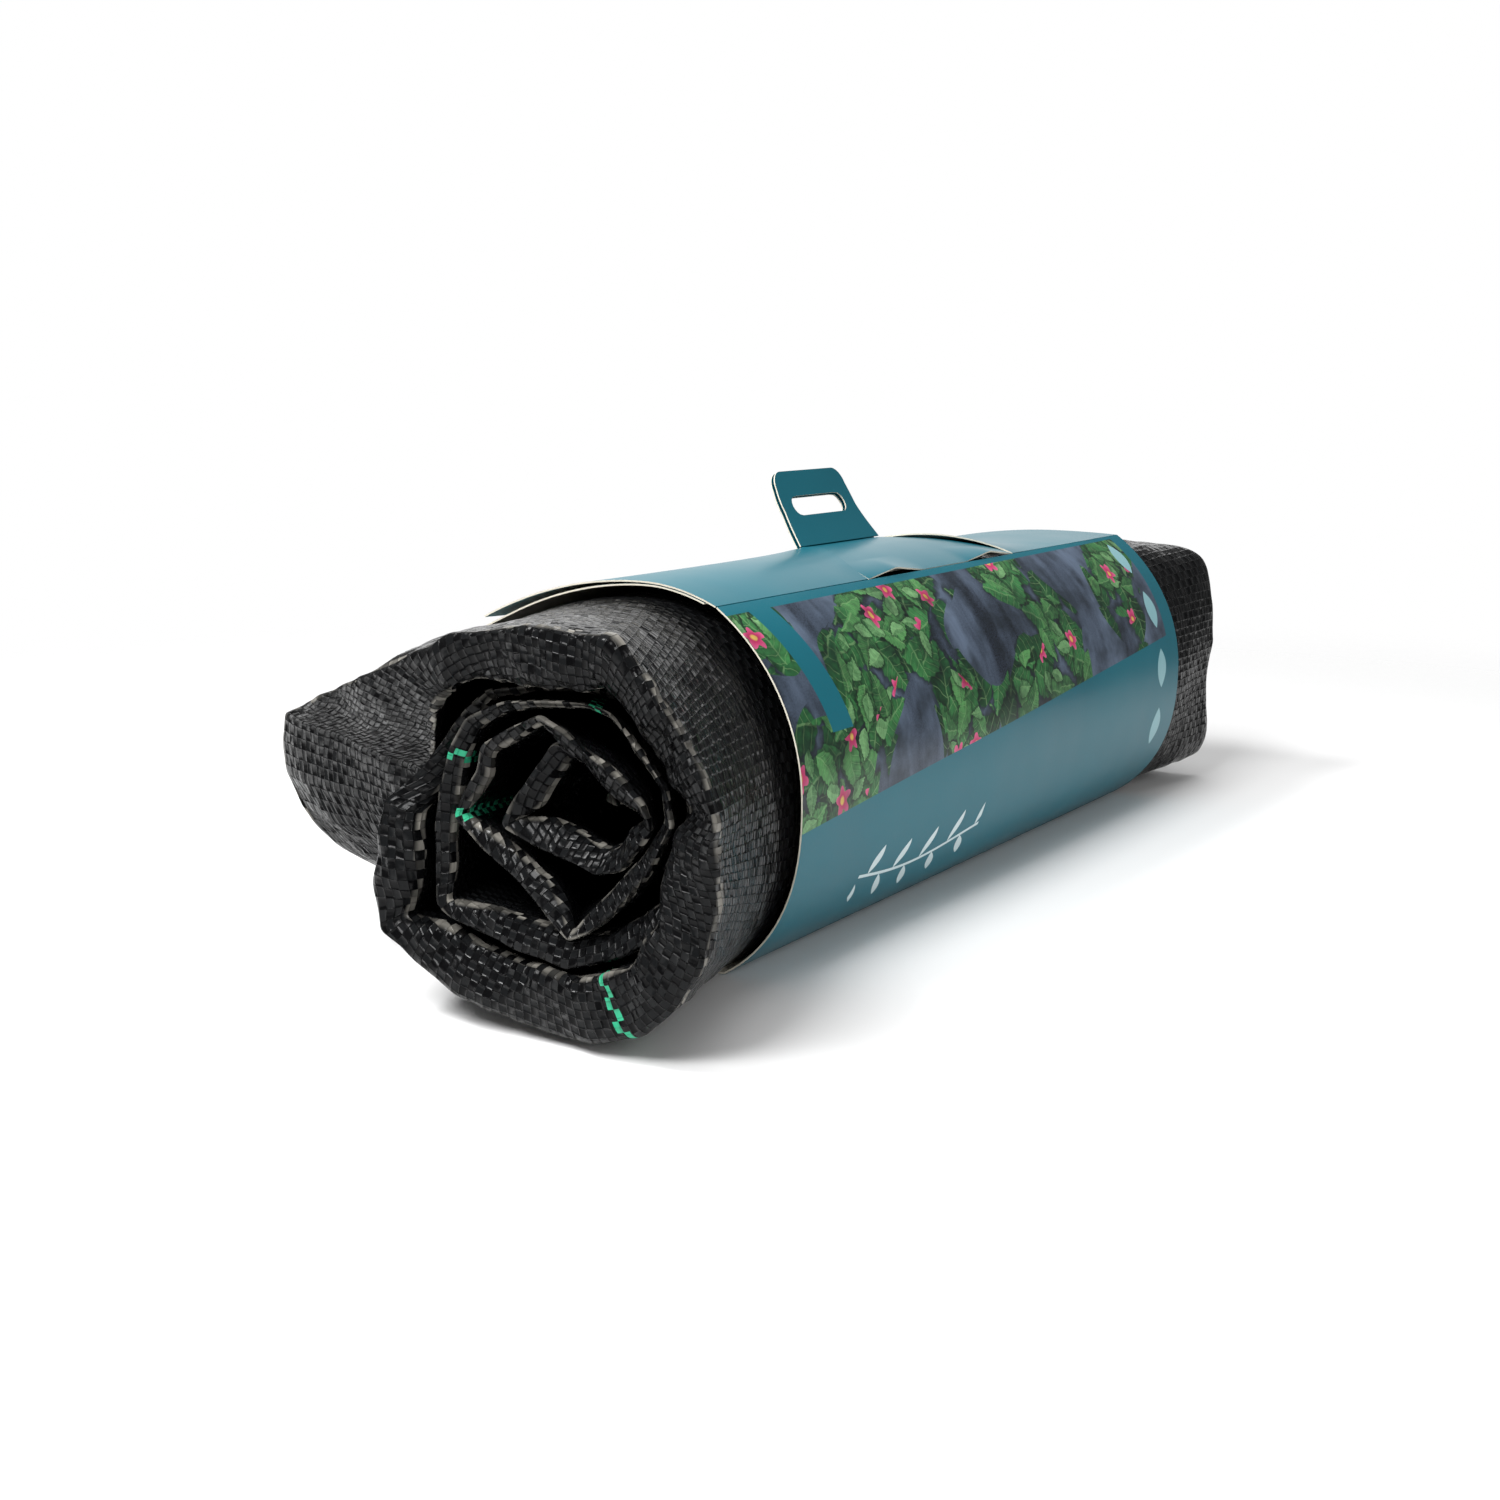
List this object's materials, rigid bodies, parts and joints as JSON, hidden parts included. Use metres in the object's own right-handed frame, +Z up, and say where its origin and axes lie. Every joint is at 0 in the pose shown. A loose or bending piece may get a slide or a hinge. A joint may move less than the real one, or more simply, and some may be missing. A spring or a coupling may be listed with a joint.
{
  "type": "roll of weed control fabric",
  "caption": "Folded woven weed control fabric rolled up in a printed card sleeve, with a fold-up hang tab.",
  "frame": {"origin": "middle of the sleeve's flat underside, on the surface that the roll lies on", "axes": "+Z up; +Y along the roll, from its coiled near end to its far end; +X towards the sleeve's front panel"},
  "size_m": [0.1771, 0.434, 0.1376],
  "materials": {
    "card": "gloss coated, printed",
    "fabric": "woven polypropylene tapes, satin"
  },
  "bodies": {
    "sleeve": {"sleeve_wrap": "card"},
    "outer_flap": {"outer_flap": "card"},
    "tongue": {"tongue": "card"},
    "front_ply": {"hang_tab_front_ply": "card"},
    "back_ply": {"hang_tab_back_ply": "card"},
    "fabric": {"fabric_roll": "fabric"}
  },
  "joints": [
    {"name": "fabric_slide", "type": "slide", "parent": "sleeve", "child": "fabric", "axis": [0, -1, 0], "range_m": [0, 0.36]},
    {"name": "outer_flap_hinge", "type": "hinge", "parent": "sleeve", "child": "outer_flap", "pos_m": [0.04, 0, 0.1075], "axis": [0, 1, 0], "range_deg": [0, 110]},
    {"name": "tongue_hinge", "type": "hinge", "parent": "sleeve", "child": "tongue", "pos_m": [0.04, 0, 0.1075], "axis": [0, 1, 0], "range_deg": [0, 110]},
    {"name": "hang_tab_fold", "type": "hinge", "parent": "tongue", "child": "front_ply", "pos_m": [-0.00116, 0, 0.11374], "axis": [0, 1, 0], "range_deg": [-75, 30]},
    {"name": "back_ply_fold", "type": "hinge", "parent": "sleeve", "child": "back_ply", "pos_m": [-0.00179, 0, 0.11163], "axis": [0, 1, 0], "range_deg": [-75, 30]}
  ],
  "couplings": [
    {"joint": "back_ply_fold", "follows": "hang_tab_fold", "ratio": 1}
  ]
}
